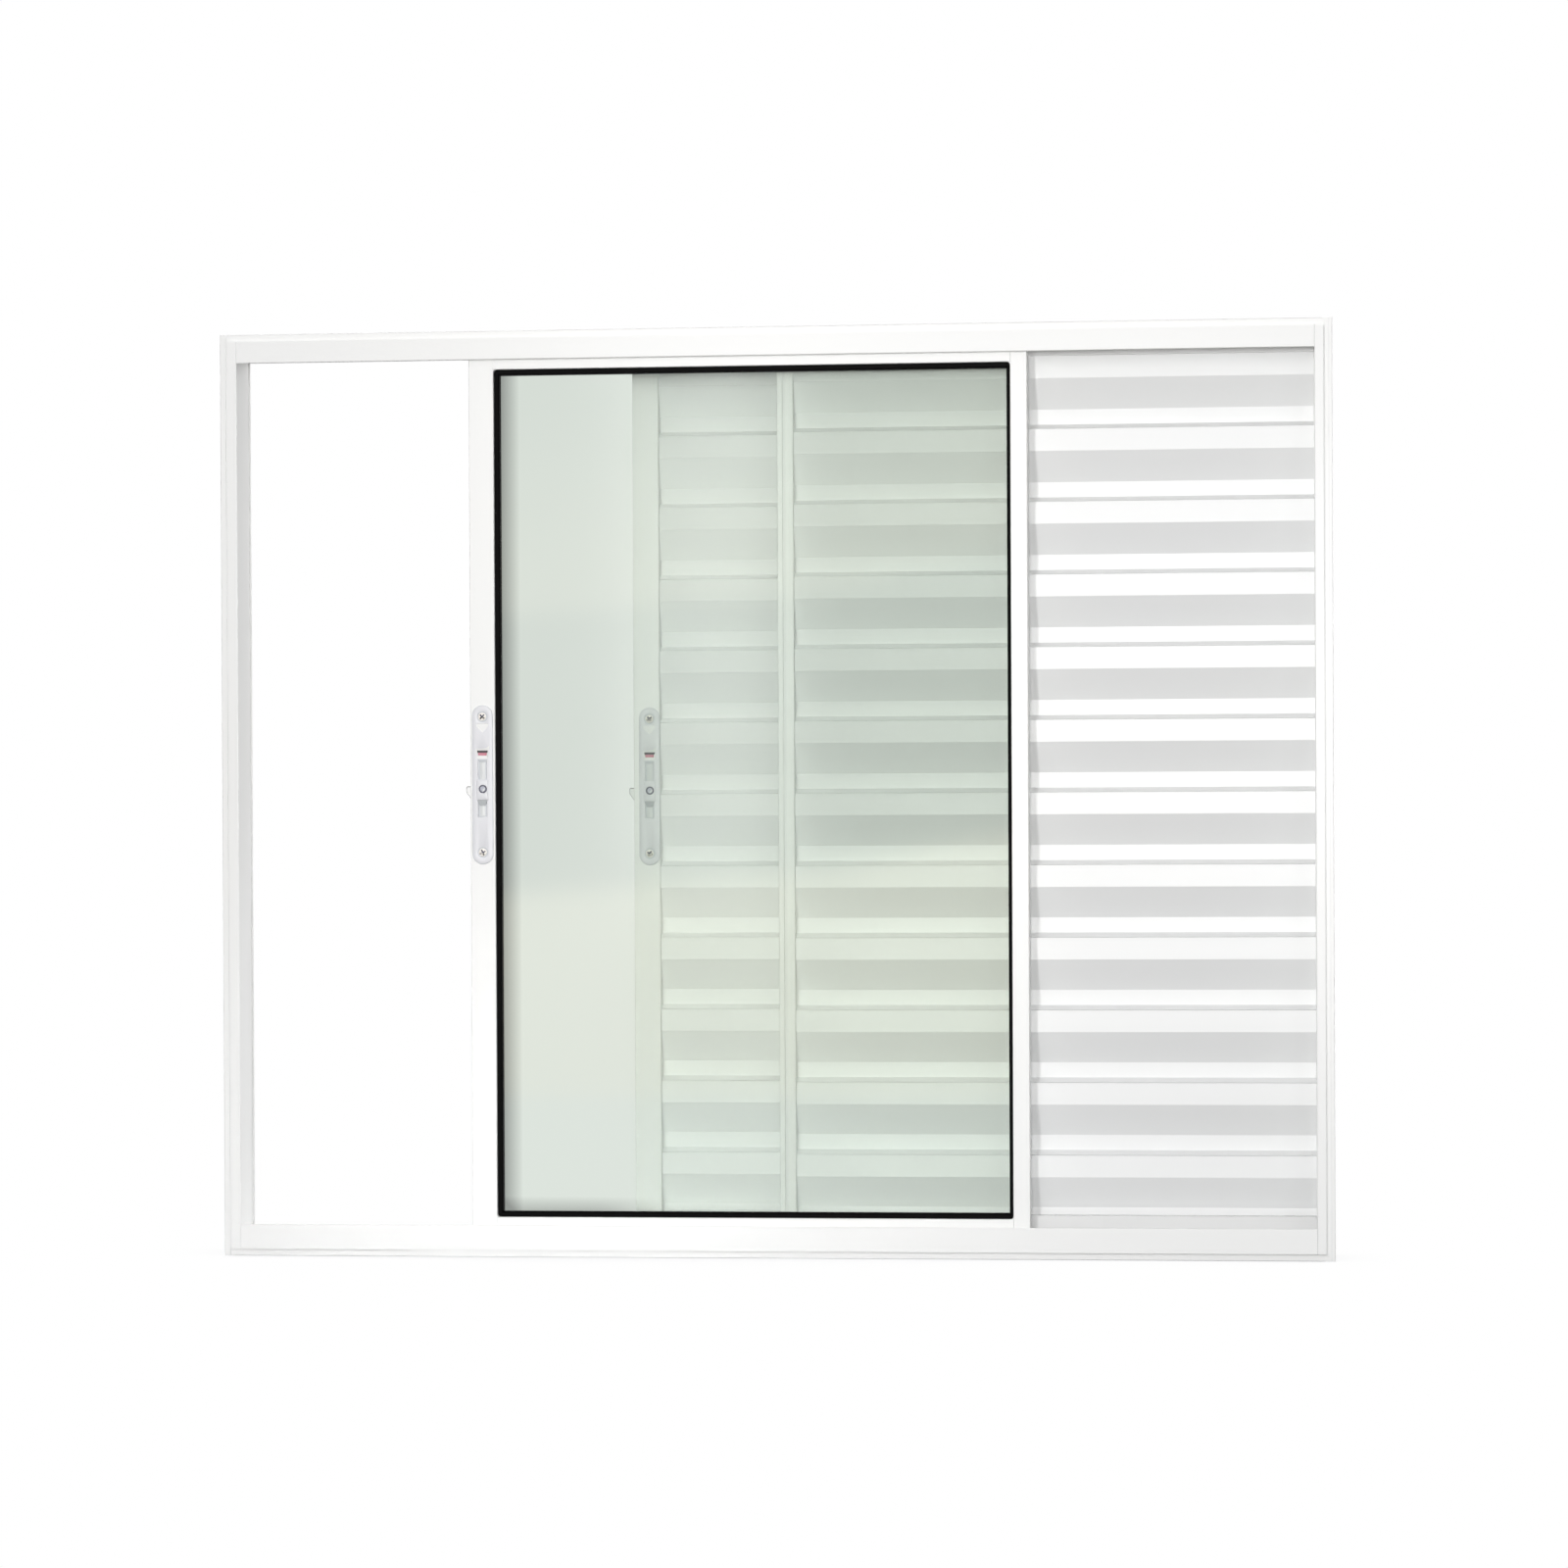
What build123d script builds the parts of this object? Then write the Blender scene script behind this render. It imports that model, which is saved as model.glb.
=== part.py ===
from build123d import *
from math import atan2, degrees, hypot
import os

os.makedirs("parts", exist_ok=True)

# overall size: X across the window, Y through the wall, Z up, room side towards -Y
window_width = 1200.0
window_height = 1000.0
frame_depth = 95.0
half = window_width / 2
front = -frame_depth / 2

# outer frame section: depths run back from the room-side lip, heights inward from the outer face
wall = 2.0
flange_setback = 5.0
sill_lip, head_lip, jamb_lip = 34.6, 31.3, 19.2
sill_rear, head_rear, jamb_rear = 22.0, 22.3, 13.4
left_line, left_line_wide, left_line_deep = 7.1, 2.0, 1.2
right_line, right_line_wide, right_line_deep = 4.0, 1.2, 0.7
web_start = 8.0
jamb_web_start = 9.4
fin_depths = [32.5, 63.5]
fin_top = 21.0
track_depths = [17.0, 48.0, 79.0]
rail_width = 3.0
rail_top = 15.0
drain_wide, drain_tall = 28.0, 4.0
drain_spacing = 390.0

# leaves: outer edges across the window, and the depth of each leaf's room face
leaf_depth = 24.0
leaf_bottom = 12.5
leaf_top = 985.0
skin = 1.6
pocket_deep = 7.0
notch_gap = 0.6
glass_left, glass_right = -326.4, 276.4
louvre_left, louvre_right = -157.0, 447.0
fixed_left, fixed_right = 4.8, 588.6
track_one, track_two, track_three = [depth - leaf_depth / 2 for depth in track_depths]

# glass leaf: widths of its members as seen from the room
lock_stile = 26.7
meeting_stile = 17.8
glass_rail_top = 43.2
glass_head_bottom = 958.3
glass_thick = 4.0
gasket_thick = 12.0
gasket_cover = 5.8
gasket_cover_right = 4.3
gasket_seat = 6.0
glass_edge = 2.0
gasket_bevel = 1.6

# interlock between meeting stiles, and the groove it enters
interlock_inset = 9.0
interlock_out = 3.0
interlock_hook = 3.0
interlock_foot = 30.0
interlock_tall = 940.0
groove_inset, groove_wide, groove_deep = 5.6, 3.2, 3.0

# louvre leaves and their blades
louvre_lock_stile = 28.4
fixed_stile = 17.5
fixed_jamb_stile = 8.1
louvre_rail_top = 45.0
louvre_head_bottom = 967.2
blade_count = 12
blade_pitch = 77.97
first_lip_foot = 943.5
near_lip = 23.2
slope_drop = 32.9
far_lip = 16.4
blade_recess = 4.0
blade_step = 11.0
sheet = 1.6
bend = 1.2
seam, blade_slack = 0.8, 0.5
hook_tall = 7.0

# rolling gear, guides, packers
wheel_radius = 8.0
wheel_groove, groove_slack = 1.0, 0.3
wheel_wide = 7.0
well_gap = 0.6
carriage_half, carriage_lift = 19.0, 2.5
well_side, well_roof = 2.0, 2.0
block_bevel = 2.0
carriage_inset = 75.0
guide_half = 12.0
guide_inset = 50.0
guide_head = 988.0
packer_half = 20.0
packer_inset = 85.0

# lock: heights above the sill's underside
lock_tall, lock_wide = 171.6, 22.6
lock_middle = 510.3
plate_thick = 1.8
plate_bevel = 0.8
tongue_thick = 0.6
recess_wide = 10.5
recess_foot, recess_head = 476.1, 539.0
cap_foot, cap_head = 493.6, 517.0
cap_wide, cap_thick = 12.9, 1.0
knob_radius, knob_height, knob_thick = 4.6, 505.9, 1.8
window_foot, window_head, window_wide = 542.1, 547.5, 9.5
hook_foot, hook_head, hook_out = 493.6, 508.8, 6.6
hook_back, hook_thick = 12.0, 3.0
hook_crown, hook_flat = 1.5, 6.0
keeper_wide, keeper_tall, keeper_slot, keeper_thick = 18.0, 60.0, 6.0, 1.2
keeper_margin = 3.0
lock_slack = 0.4
glass_lock_inset, louvre_lock_inset = 13.3, 17.3
louvre_lock_drop = 2.2


def y(depth):
    return front + depth


# sketch planes whose x runs through the wall and whose y runs inward from a member's outer edge
def lower_plane(x, depth, height):
    return Plane(origin=(x, y(depth), height), x_dir=(0, 1, 0), z_dir=(1, 0, 0))


def upper_plane(x, depth, height):
    return Plane(origin=(x, y(depth), height), x_dir=(0, 1, 0), z_dir=(-1, 0, 0))


def left_plane(x, depth, height):
    return Plane(origin=(x, y(depth), height), x_dir=(0, 1, 0), z_dir=(0, 0, -1))


def right_plane(x, depth, height):
    return Plane(origin=(x, y(depth), height), x_dir=(0, 1, 0), z_dir=(0, 0, 1))


# upright plane facing the room, with x across the window and y up, at a depth
def face_plane(depth, drop=0):
    return Plane(origin=(0, y(depth), -drop), x_dir=(1, 0, 0), z_dir=(0, -1, 0))


# one wall of an extruded section between two centre points, with rounded ends
def rib(start, end, thick):
    run = hypot(end[0] - start[0], end[1] - start[1])
    turn = degrees(atan2(end[1] - start[1], end[0] - start[0]))
    with Locations(((start[0] + end[0]) / 2, (start[1] + end[1]) / 2)):
        SlotOverall(run + thick, thick, rotation=turn)


def save(builder, name):
    builder.part.label = name
    export_step(builder.part, "parts/" + name + ".step")


# frame section: a box against the wall, whose front and back walls are the flanges, with two ribs
def frame_section(start):
    t = wall / 2
    box_front = flange_setback + t
    box_back = frame_depth - flange_setback - t
    level = start + t
    rib((box_front, t), (box_back, t), wall)
    rib((t, level), (frame_depth - t, level), wall)
    for depth in (box_front, *fin_depths, box_back):
        rib((depth, t), (depth, level), wall)


# the room lip and the outer lip, each standing from the web's underside
def frame_lips(lip, rear, start):
    for depth, head in ((wall / 2, lip), (frame_depth - wall / 2, rear)):
        rib((depth, start + wall / 2), (depth, head - wall / 2), wall)
        with Locations((depth, start + wall / 2)):
            Rectangle(wall, wall)


# round-topped rails and fins that stand on the web
def track_section(fins, rails):
    for depth in fins:
        rib((depth, web_start), (depth, fin_top - wall / 2), wall)
    for depth in rails:
        rib((depth, web_start), (depth, rail_top - rail_width / 2), rail_width)
    with Locations((frame_depth / 2, 0)):
        Rectangle(frame_depth, 2 * (web_start + wall), mode=Mode.SUBTRACT)


jamb_face = half - jamb_web_start - wall

# a member's ends are notched round the lips of the jambs
def jamb_notches(foot, head):
    for side in (-1, 1):
        with BuildSketch(Plane.XY.offset(foot)) as notch:
            with Locations((side * half, y(0))):
                Rectangle(2 * jamb_lip, 2 * wall)
            with Locations((side * half, y(frame_depth))):
                Rectangle(2 * jamb_rear, 2 * wall)
        extrude(notch.sketch, amount=head - foot, mode=Mode.SUBTRACT)


# sill: the web stops at the lips, which are plates of their own with drain slots in the outer one
with BuildPart() as frame_sill:
    with BuildSketch(lower_plane(-jamb_face, 0, 0)):
        frame_section(web_start)
        with Locations((wall / 2, web_start + wall / 2), (frame_depth - wall / 2, web_start + wall / 2)):
            Rectangle(wall, wall, mode=Mode.SUBTRACT)
    extrude(amount=2 * jamb_face)
save(frame_sill, "frame_sill")

with BuildPart() as frame_sill_lips:
    with BuildSketch(lower_plane(-jamb_face, 0, 0)):
        frame_lips(sill_lip, sill_rear, web_start)
    extrude(amount=2 * jamb_face)
    jamb_notches(0, sill_lip)
    with BuildSketch(face_plane(frame_depth + wall)):
        with Locations((0, web_start + wall + drain_tall / 2)):
            with GridLocations(drain_spacing, 1, 3, 1):
                Rectangle(drain_wide, drain_tall)
    extrude(amount=3 * wall, mode=Mode.SUBTRACT)
save(frame_sill_lips, "frame_sill_lips")

with BuildPart() as frame_sill_tracks:
    with BuildSketch(lower_plane(-jamb_face, 0, 0)):
        track_section(fin_depths, track_depths)
    extrude(amount=2 * jamb_face)
save(frame_sill_tracks, "frame_sill_tracks")

with BuildPart() as frame_head:
    with BuildSketch(upper_plane(jamb_face, 0, window_height)):
        frame_section(web_start)
        frame_lips(head_lip, head_rear, web_start)
    extrude(amount=2 * jamb_face)
    jamb_notches(window_height - head_lip, window_height)
save(frame_head, "frame_head")

with BuildPart() as frame_head_fins:
    with BuildSketch(upper_plane(jamb_face, 0, window_height)):
        track_section(fin_depths, [])
    extrude(amount=2 * jamb_face)
save(frame_head_fins, "frame_head_fins")

# jamb: its lips stop level with the webs of sill and head, and a fine line runs down its room flange
def jamb(section_plane, side, line, line_wide, line_deep):
    with BuildSketch(section_plane) as section:
        frame_section(jamb_web_start)
        frame_lips(jamb_lip, jamb_rear, jamb_web_start)
        with Locations((flange_setback, line)):
            Rectangle(2 * line_deep, line_wide, mode=Mode.SUBTRACT)
    extrude(section.sketch, amount=window_height)
    for foot in (-1, window_height - web_start):
        with BuildSketch(Plane.XY.offset(foot)) as lip_end:
            with Locations((side * half, y(0)), (side * half, y(frame_depth))):
                Rectangle(4 * jamb_lip, 2 * flange_setback)
        extrude(lip_end.sketch, amount=web_start + 1, mode=Mode.SUBTRACT)


with BuildPart() as frame_jamb_left:
    jamb(left_plane(-half, 0, window_height), -1, left_line, left_line_wide, left_line_deep)
save(frame_jamb_left, "frame_jamb_left")

with BuildPart() as frame_jamb_right:
    jamb(right_plane(half, 0, 0), 1, right_line, right_line_wide, right_line_deep)
save(frame_jamb_right, "frame_jamb_right")


# section of a leaf member: room face, outer face, and the web that closes its glass pocket
def leaf_section(width, pocket, closed):
    t = skin / 2
    back = leaf_depth - t
    edge = width - t
    web = edge - pocket_deep
    rib((t, t), (t, edge), skin)
    rib((back, t), (back, edge), skin)
    rib((t, web), (back, web), skin)
    if closed:
        rib((t, t), (back, t), skin)
    if pocket:
        jaw = (leaf_depth - pocket) / 2 - t
        for face, inner in ((t, jaw), (back, leaf_depth - jaw)):
            rib((face, edge), (inner, edge), skin)
            rib((inner, edge), (inner, web), skin)
    else:
        rib((t, edge), (back, edge), skin)


# the foot of each stile is notched so that it passes over the track rail
def rail_notch(edge, width, depth):
    with BuildSketch(Plane.XY.offset(leaf_bottom - 1)) as notch:
        with Locations((edge, y(depth + leaf_depth / 2))):
            Rectangle(2 * width + 2, 2 * rail_width)
    extrude(notch.sketch, amount=rail_top + notch_gap + 1 - leaf_bottom, mode=Mode.SUBTRACT)


stile_height = leaf_top - leaf_bottom
glass_in_left = glass_left + lock_stile
glass_in_right = glass_right - meeting_stile
glass_span = glass_in_right - glass_in_left

# glass leaf on the room-side track
with BuildPart() as glass_leaf_lock_stile:
    with BuildSketch(left_plane(glass_left, track_one, leaf_top)):
        leaf_section(lock_stile, gasket_thick, True)
    extrude(amount=stile_height)
    rail_notch(glass_left, lock_stile, track_one)
save(glass_leaf_lock_stile, "glass_leaf_lock_stile")

# its meeting stile carries the interlock fin that hooks into the leaf behind
with BuildPart() as glass_leaf_meeting_stile:
    with BuildSketch(right_plane(glass_right, track_one, leaf_bottom)):
        leaf_section(meeting_stile, gasket_thick, True)
    extrude(amount=stile_height)
    with BuildSketch(right_plane(glass_right, track_one, interlock_foot)):
        rib((leaf_depth - skin / 2, interlock_inset), (leaf_depth + interlock_out, interlock_inset), skin)
        rib((leaf_depth + interlock_out, interlock_inset),
            (leaf_depth + interlock_out, interlock_inset - interlock_hook), skin)
    extrude(amount=interlock_tall)
    rail_notch(glass_right, meeting_stile, track_one)
save(glass_leaf_meeting_stile, "glass_leaf_meeting_stile")

with BuildPart() as glass_leaf_bottom_rail:
    with BuildSketch(lower_plane(glass_in_left, track_one, leaf_bottom)):
        leaf_section(glass_rail_top - leaf_bottom, gasket_thick, False)
    extrude(amount=glass_span)
save(glass_leaf_bottom_rail, "glass_leaf_bottom_rail")

with BuildPart() as glass_leaf_top_rail:
    with BuildSketch(upper_plane(glass_in_right, track_one, leaf_top)):
        leaf_section(leaf_top - glass_head_bottom, gasket_thick, False)
    extrude(amount=glass_span)
save(glass_leaf_top_rail, "glass_leaf_top_rail")

# gasket ring seated in the pocket, wrapping the edge of the glass
seat_left, seat_right = glass_in_left - gasket_seat, glass_in_right + gasket_seat
seat_foot, seat_head = glass_rail_top - gasket_seat, glass_head_bottom + gasket_seat
pane_left, pane_right = seat_left + glass_edge, seat_right - glass_edge
pane_foot, pane_head = seat_foot + glass_edge, seat_head - glass_edge
sight_left, sight_right = glass_in_left + gasket_cover, glass_in_right - gasket_cover_right
sight_foot, sight_head = glass_rail_top + gasket_cover, glass_head_bottom - gasket_cover
glass_middle = track_one + leaf_depth / 2


# upright rectangle between two corners, drawn on the plane of the leaf
def upright(left, right, foot, head):
    with Locations(((left + right) / 2, (foot + head) / 2)):
        Rectangle(right - left, head - foot)


with BuildPart() as glass_gasket:
    with BuildSketch(face_plane(glass_middle)):
        upright(seat_left, seat_right, seat_foot, seat_head)
        with BuildSketch(mode=Mode.SUBTRACT):
            upright(sight_left, sight_right, sight_foot, sight_head)
    extrude(amount=gasket_thick / 2, both=True)
    sight_edges = glass_gasket.edges().filter_by(Axis.Y, reverse=True)
    lips = [edge for edge in sight_edges if seat_left + 1 < edge.center().X < seat_right - 1
            and seat_foot + 1 < edge.center().Z < seat_head - 1]
    chamfer(lips, length=gasket_bevel)
    with BuildSketch(face_plane(glass_middle)):
        upright(pane_left, pane_right, pane_foot, pane_head)
    extrude(amount=glass_thick / 2, both=True, mode=Mode.SUBTRACT)
save(glass_gasket, "glass_gasket")

with BuildPart() as glass_pane:
    with BuildSketch(face_plane(glass_middle)):
        upright(pane_left, pane_right, pane_foot, pane_head)
    extrude(amount=glass_thick / 2, both=True)
save(glass_pane, "glass_pane")


# one blade: near lip, slope down to the outside, far drip lip, and a ledge that leads forward from its foot
# to the near lip of the blade below; a return behind the near lip runs under that ledge and hooks up
def blade(start, end, depth, lip_foot, top_blade, last_blade):
    near = y(depth + blade_recess + sheet / 2)
    far = near + blade_step
    slope_foot = lip_foot - slope_drop
    ledge = blade_pitch - near_lip - slope_drop - far_lip
    rise = ledge / (blade_step - sheet)

    def ledge_line(place, lip_head, below):
        return lip_head + rise * (place - near - sheet / 2) - (sheet / 2 + below) * hypot(1, rise)

    points = [(far, slope_foot), (near, lip_foot)]
    if last_blade:
        points.insert(0, (far, louvre_rail_top))
    else:
        next_head = slope_foot - far_lip - ledge
        tip = near + sheet + seam
        points.insert(0, (far, ledge_line(far, next_head, 0)))
        points.insert(0, (tip, ledge_line(tip, next_head, 0)))
    lip_head = lip_foot + near_lip
    points.append((near, louvre_head_bottom if top_blade else lip_head))
    with BuildSketch(Plane.YZ.offset(start)) as section:
        with BuildLine():
            FilletPolyline(*points, radius=bend)
        trace(line_width=sheet)
        if not top_blade:
            under = sheet + blade_slack
            hook = far + under
            hook_foot_height = ledge_line(hook, lip_head, under)
            with BuildLine():
                Polyline((near, ledge_line(near, lip_head, under)), (hook, hook_foot_height),
                         (hook, hook_foot_height + hook_tall))
            trace(line_width=sheet)
    extrude(section.sketch, amount=end - start)


def blade_stack(start, end, depth):
    for n in range(blade_count):
        lip_foot = first_lip_foot - n * blade_pitch
        blade(start, end, depth, lip_foot, n == 0, n == blade_count - 1)


# sliding louvre leaf on the outer track
louvre_in_left = louvre_left + louvre_lock_stile
louvre_in_right = louvre_right - meeting_stile
louvre_span = louvre_in_right - louvre_in_left

with BuildPart() as louvre_leaf_lock_stile:
    with BuildSketch(left_plane(louvre_left, track_three, leaf_top)):
        leaf_section(louvre_lock_stile, 0, True)
    extrude(amount=stile_height)
    rail_notch(louvre_left, louvre_lock_stile, track_three)
save(louvre_leaf_lock_stile, "louvre_leaf_lock_stile")

with BuildPart() as louvre_leaf_meeting_stile:
    with BuildSketch(right_plane(louvre_right, track_three, leaf_bottom)):
        leaf_section(meeting_stile, 0, True)
    extrude(amount=stile_height)
    with BuildSketch(right_plane(louvre_right, track_three, interlock_foot)):
        rib((skin / 2, interlock_inset), (-interlock_out, interlock_inset), skin)
        rib((-interlock_out, interlock_inset), (-interlock_out, interlock_inset - interlock_hook), skin)
    extrude(amount=interlock_tall)
    rail_notch(louvre_right, meeting_stile, track_three)
save(louvre_leaf_meeting_stile, "louvre_leaf_meeting_stile")

with BuildPart() as louvre_leaf_bottom_rail:
    with BuildSketch(lower_plane(louvre_in_left, track_three, leaf_bottom)):
        leaf_section(louvre_rail_top - leaf_bottom, 0, False)
    extrude(amount=louvre_span)
save(louvre_leaf_bottom_rail, "louvre_leaf_bottom_rail")

with BuildPart() as louvre_leaf_top_rail:
    with BuildSketch(upper_plane(louvre_in_right, track_three, leaf_top)):
        leaf_section(leaf_top - louvre_head_bottom, 0, False)
    extrude(amount=louvre_span)
save(louvre_leaf_top_rail, "louvre_leaf_top_rail")

with BuildPart() as louvre_leaf_blades:
    blade_stack(louvre_in_left, louvre_in_right, track_three)
save(louvre_leaf_blades, "louvre_leaf_blades")

# fixed louvre leaf on the middle track
fixed_in_left = fixed_left + fixed_stile
fixed_in_right = fixed_right - fixed_jamb_stile
fixed_span = fixed_in_right - fixed_in_left

with BuildPart() as fixed_leaf_meeting_stile:
    with BuildSketch(left_plane(fixed_left, track_two, leaf_top)):
        leaf_section(fixed_stile, 0, True)
        # groove that takes the glass leaf's interlock fin, and the fin for the louvre leaf
        with Locations((groove_deep / 2, groove_inset + groove_wide / 2)):
            Rectangle(groove_deep + skin, groove_wide + 2 * skin)
            Rectangle(groove_deep + 2 * skin, groove_wide, mode=Mode.SUBTRACT)
        with Locations((groove_deep + skin / 2, groove_inset + groove_wide / 2)):
            Rectangle(skin, groove_wide + 2 * skin)
        with Locations((-skin, groove_inset + groove_wide / 2)):
            Rectangle(2 * skin, groove_wide + 4 * skin, mode=Mode.SUBTRACT)
    extrude(amount=stile_height)
    rail_notch(fixed_left, fixed_stile, track_two)
save(fixed_leaf_meeting_stile, "fixed_leaf_meeting_stile")

with BuildPart() as fixed_leaf_jamb_stile:
    with BuildSketch(right_plane(fixed_right, track_two, leaf_bottom)):
        side = skin / 2
        edge = fixed_jamb_stile - side
        for depth in (side, leaf_depth - side):
            rib((depth, side), (depth, edge), skin)
        rib((side, edge), (leaf_depth - side, edge), skin)
    extrude(amount=stile_height)
    rail_notch(fixed_right, fixed_jamb_stile, track_two)
save(fixed_leaf_jamb_stile, "fixed_leaf_jamb_stile")

with BuildPart() as fixed_leaf_bottom_rail:
    with BuildSketch(lower_plane(fixed_in_left, track_two, leaf_bottom)):
        leaf_section(louvre_rail_top - leaf_bottom, 0, False)
    extrude(amount=fixed_span)
save(fixed_leaf_bottom_rail, "fixed_leaf_bottom_rail")

with BuildPart() as fixed_leaf_top_rail:
    with BuildSketch(upper_plane(fixed_in_right, track_two, leaf_top)):
        leaf_section(leaf_top - louvre_head_bottom, 0, False)
    extrude(amount=fixed_span)
save(fixed_leaf_top_rail, "fixed_leaf_top_rail")

with BuildPart() as fixed_leaf_blades:
    blade_stack(fixed_in_left, fixed_in_right, track_two)
save(fixed_leaf_blades, "fixed_leaf_blades")


# roller carriage filling the rail's lower channel, with a well for its wheel
def carriage(x, depth, rail_head):
    middle = depth + leaf_depth / 2
    roof = rail_head - pocket_deep - skin
    foot = rail_top + carriage_lift
    with BuildSketch(face_plane(middle)) as side_view:
        with Locations((x, (foot + roof) / 2)):
            Rectangle(2 * carriage_half, roof - foot)
            chamfer(side_view.vertices(), length=block_bevel)
    extrude(side_view.sketch, amount=leaf_depth / 2 - skin, both=True)
    with BuildSketch(face_plane(middle)) as wheel_well:
        with Locations((x, foot)):
            Rectangle(2 * (wheel_radius + well_side), 2 * (roof - foot - well_roof))
    extrude(wheel_well.sketch, amount=wheel_wide / 2 + well_gap, both=True, mode=Mode.SUBTRACT)


# grooved wheel astride the track rail
def wheel(x, depth):
    middle = depth + leaf_depth / 2
    hub = rail_top - wheel_groove + wheel_radius
    groove = rail_width / 2 + groove_slack
    rim = wheel_wide / 2
    with BuildSketch(Plane(origin=(x, y(middle), hub), x_dir=(0, 1, 0), z_dir=(1, 0, 0))) as half_section:
        with BuildLine():
            Polyline((-rim, 0), (rim, 0), (rim, wheel_radius), (groove, wheel_radius - wheel_groove),
                     (-groove, wheel_radius - wheel_groove), (-rim, wheel_radius), close=True)
        make_face()
    revolve(half_section.sketch, axis=Axis((x, y(middle), hub), (0, 1, 0)))


glass_roller_x = (glass_left + carriage_inset, glass_right - carriage_inset)
louvre_roller_x = (louvre_left + carriage_inset, louvre_right - carriage_inset)

with BuildPart() as glass_leaf_roller_bodies:
    for x in glass_roller_x:
        carriage(x, track_one, glass_rail_top)
save(glass_leaf_roller_bodies, "glass_leaf_roller_bodies")

with BuildPart() as glass_leaf_wheels:
    for x in glass_roller_x:
        wheel(x, track_one)
save(glass_leaf_wheels, "glass_leaf_wheels")

with BuildPart() as louvre_leaf_roller_bodies:
    for x in louvre_roller_x:
        carriage(x, track_three, louvre_rail_top)
save(louvre_leaf_roller_bodies, "louvre_leaf_roller_bodies")

with BuildPart() as louvre_leaf_wheels:
    for x in louvre_roller_x:
        wheel(x, track_three)
save(louvre_leaf_wheels, "louvre_leaf_wheels")


# guide block in a top rail's open channel, running between the fins of the head
def guide(x, depth, rail_foot):
    middle = depth + leaf_depth / 2
    foot = rail_foot + pocket_deep + skin
    with BuildSketch(face_plane(middle)) as block:
        with Locations((x, (foot + guide_head) / 2)):
            Rectangle(2 * guide_half, guide_head - foot)
            chamfer(block.vertices(), length=block_bevel)
    extrude(block.sketch, amount=leaf_depth / 2 - skin, both=True)


with BuildPart() as glass_leaf_guides:
    for x in (glass_left + guide_inset, glass_right - guide_inset):
        guide(x, track_one, glass_head_bottom)
save(glass_leaf_guides, "glass_leaf_guides")

with BuildPart() as louvre_leaf_guides:
    for x in (louvre_left + guide_inset, louvre_right - guide_inset):
        guide(x, track_three, louvre_head_bottom)
save(louvre_leaf_guides, "louvre_leaf_guides")


# packers that hold the fixed leaf down on its track rail and up against the head
with BuildPart() as fixed_leaf_packers:
    low = (rail_top, louvre_rail_top - pocket_deep - skin)
    high = (louvre_head_bottom + pocket_deep + skin, window_height - web_start - wall)
    for foot, head in (low, high):
        with BuildSketch(face_plane(track_two + leaf_depth / 2)) as packer:
            with Locations((fixed_left + packer_inset, (foot + head) / 2),
                           (fixed_right - packer_inset, (foot + head) / 2)):
                Rectangle(2 * packer_half, head - foot)
        extrude(packer.sketch, amount=leaf_depth / 2 - skin, both=True)
save(fixed_leaf_packers, "fixed_leaf_packers")


# lock plate: rounded strip with a long recess, a bevelled indicator window and two screw seats
def lock_plate(x, depth, drop):
    with BuildSketch(face_plane(depth, drop)) as outline:
        with Locations((x, lock_middle)):
            SlotOverall(lock_tall, lock_wide, rotation=90)
    extrude(outline.sketch, amount=plate_thick)


def lock_pockets(x, depth, drop):
    with BuildSketch(face_plane(depth + 1, drop)) as pocket:
        with Locations((x, (recess_foot + recess_head) / 2)):
            Rectangle(recess_wide, recess_head - recess_foot)
        with Locations((x, (window_foot + window_head) / 2)):
            Rectangle(window_wide, window_head - window_foot)
    extrude(pocket.sketch, amount=plate_thick + 2, mode=Mode.SUBTRACT)


# sliding cap that rides on the plate, its tongue in the recess, and the round knob on it
def lock_slider(x, depth, drop):
    with BuildSketch(face_plane(depth, drop)) as tongue:
        with Locations((x, (recess_foot + recess_head) / 2)):
            Rectangle(recess_wide - lock_slack, recess_head - recess_foot - lock_slack)
    extrude(tongue.sketch, amount=tongue_thick)
    with BuildSketch(face_plane(depth - tongue_thick, drop)) as neck:
        with Locations((x, (cap_foot + cap_head) / 2)):
            Rectangle(recess_wide - lock_slack, cap_head - cap_foot)
    extrude(neck.sketch, amount=plate_thick - tongue_thick)
    with BuildSketch(face_plane(depth - plate_thick, drop)) as cap:
        with Locations((x, (cap_foot + cap_head) / 2)):
            Rectangle(cap_wide, cap_head - cap_foot)
    extrude(cap.sketch, amount=cap_thick, taper=20)
    with BuildSketch(face_plane(depth - plate_thick - cap_thick, drop)) as knob:
        with Locations((x, knob_height)):
            Circle(knob_radius)
    extrude(knob.sketch, amount=knob_thick, taper=6)


def lock_indicator(x, depth, drop):
    with BuildSketch(face_plane(depth, drop)) as flag:
        with Locations((x, (window_foot + window_head) / 2)):
            Rectangle(window_wide - lock_slack, window_head - window_foot - lock_slack)
    extrude(flag.sketch, amount=tongue_thick)


# beak of the hook standing out of the stile's edge
def lock_hook(edge, depth, drop):
    with BuildSketch(face_plane(depth + hook_back, drop)) as beak:
        with BuildLine() as outline:
            Polyline((edge, hook_head), (edge - hook_out, hook_head),
                     (edge - hook_out, hook_head - hook_flat), (edge, hook_foot), close=True)
            fillet(outline.vertices().group_by(Axis.X)[0], radius=hook_crown)
        make_face()
    extrude(beak.sketch, amount=hook_thick / 2, both=True)


glass_lock_x = glass_left + glass_lock_inset
louvre_lock_x = louvre_left + louvre_lock_inset

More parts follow.
